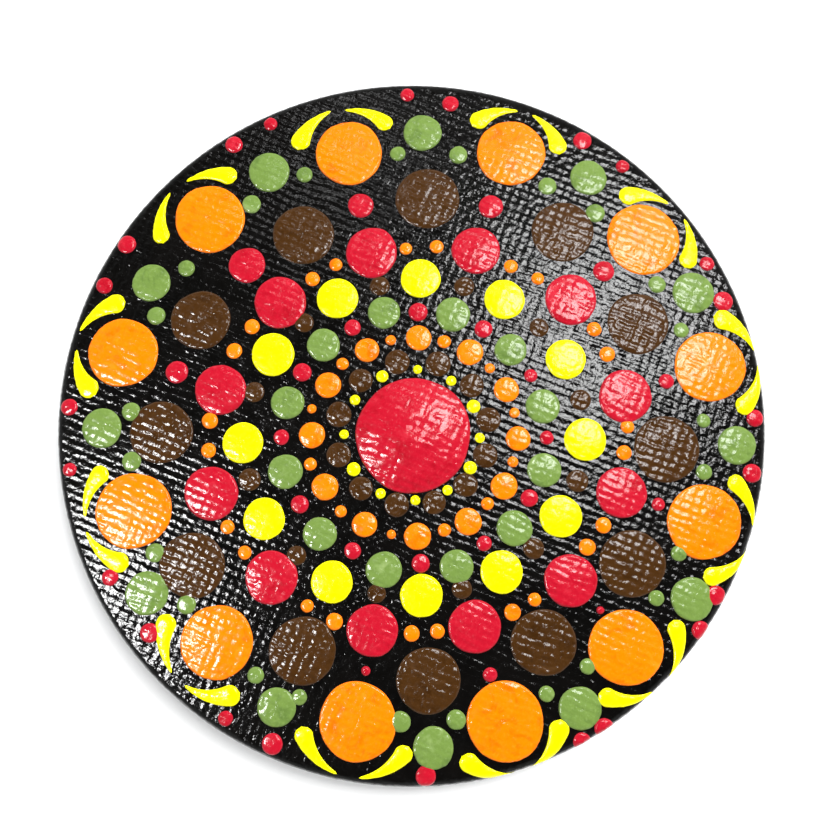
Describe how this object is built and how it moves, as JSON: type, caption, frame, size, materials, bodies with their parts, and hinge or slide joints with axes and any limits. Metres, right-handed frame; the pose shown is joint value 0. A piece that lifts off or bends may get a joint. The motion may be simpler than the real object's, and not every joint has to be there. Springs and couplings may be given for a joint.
{
  "type": "dot-painted round canvas panel",
  "caption": "Small round canvas-covered board with a black ground and a mandala of raised paint dots in concentric rings; paper-lined back, meant to be displayed or laid flat.",
  "frame": {"origin": "centre of the panel's back, at the level of the surface that it lies on", "axes": "+Z out of the painted face, +X to the right and +Y to the top of the picture as it is looked at"},
  "size_m": [0.1026, 0.1026, 0.0052],
  "materials": {
    "board": "pressed greyboard, matt",
    "canvas": "primed plain-weave cotton, matt",
    "paper": "uncoated paper, matt",
    "black_paint": "black acrylic under gloss varnish, weave showing through",
    "orange_paint": "thick acrylic paint, satin to gloss",
    "brown_paint": "thick acrylic paint, satin to gloss",
    "red_paint": "thick acrylic paint, gloss",
    "yellow_paint": "thick acrylic paint, satin to gloss",
    "green_paint": "thick acrylic paint, satin to gloss"
  },
  "bodies": {
    "root": {"core_board": "board", "canvas_wrap": "canvas", "backing_paper": "paper", "black_ground": "black_paint", "centre_dot": "red_paint", "orange_dot_01": "orange_paint", "orange_dot_02": "orange_paint", "orange_dot_03": "orange_paint", "orange_dot_04": "orange_paint", "orange_dot_05": "orange_paint", "orange_dot_06": "orange_paint", "orange_dot_07": "orange_paint", "orange_dot_08": "orange_paint", "orange_dot_09": "orange_paint", "orange_dot_10": "orange_paint", "orange_dot_11": "orange_paint", "orange_dot_12": "orange_paint", "brown_dot_01": "brown_paint", "brown_dot_02": "brown_paint", "brown_dot_03": "brown_paint", "brown_dot_04": "brown_paint", "brown_dot_05": "brown_paint", "brown_dot_06": "brown_paint", "brown_dot_07": "brown_paint", "brown_dot_08": "brown_paint", "brown_dot_09": "brown_paint", "brown_dot_10": "brown_paint", "brown_dot_11": "brown_paint", "brown_dot_12": "brown_paint", "red_dot_01": "red_paint", "red_dot_02": "red_paint", "red_dot_03": "red_paint", "red_dot_04": "red_paint", "red_dot_05": "red_paint", "red_dot_06": "red_paint", "red_dot_07": "red_paint", "red_dot_08": "red_paint", "red_dot_09": "red_paint", "red_dot_10": "red_paint", "red_dot_11": "red_paint", "red_dot_12": "red_paint", "yellow_dot_01": "yellow_paint", "yellow_dot_02": "yellow_paint", "yellow_dot_03": "yellow_paint", "yellow_dot_04": "yellow_paint", "yellow_dot_05": "yellow_paint", "yellow_dot_06": "yellow_paint", "yellow_dot_07": "yellow_paint", "yellow_dot_08": "yellow_paint", "yellow_dot_09": "yellow_paint", "yellow_dot_10": "yellow_paint", "yellow_dot_11": "yellow_paint", "yellow_dot_12": "yellow_paint"}
  },
  "joints": []
}
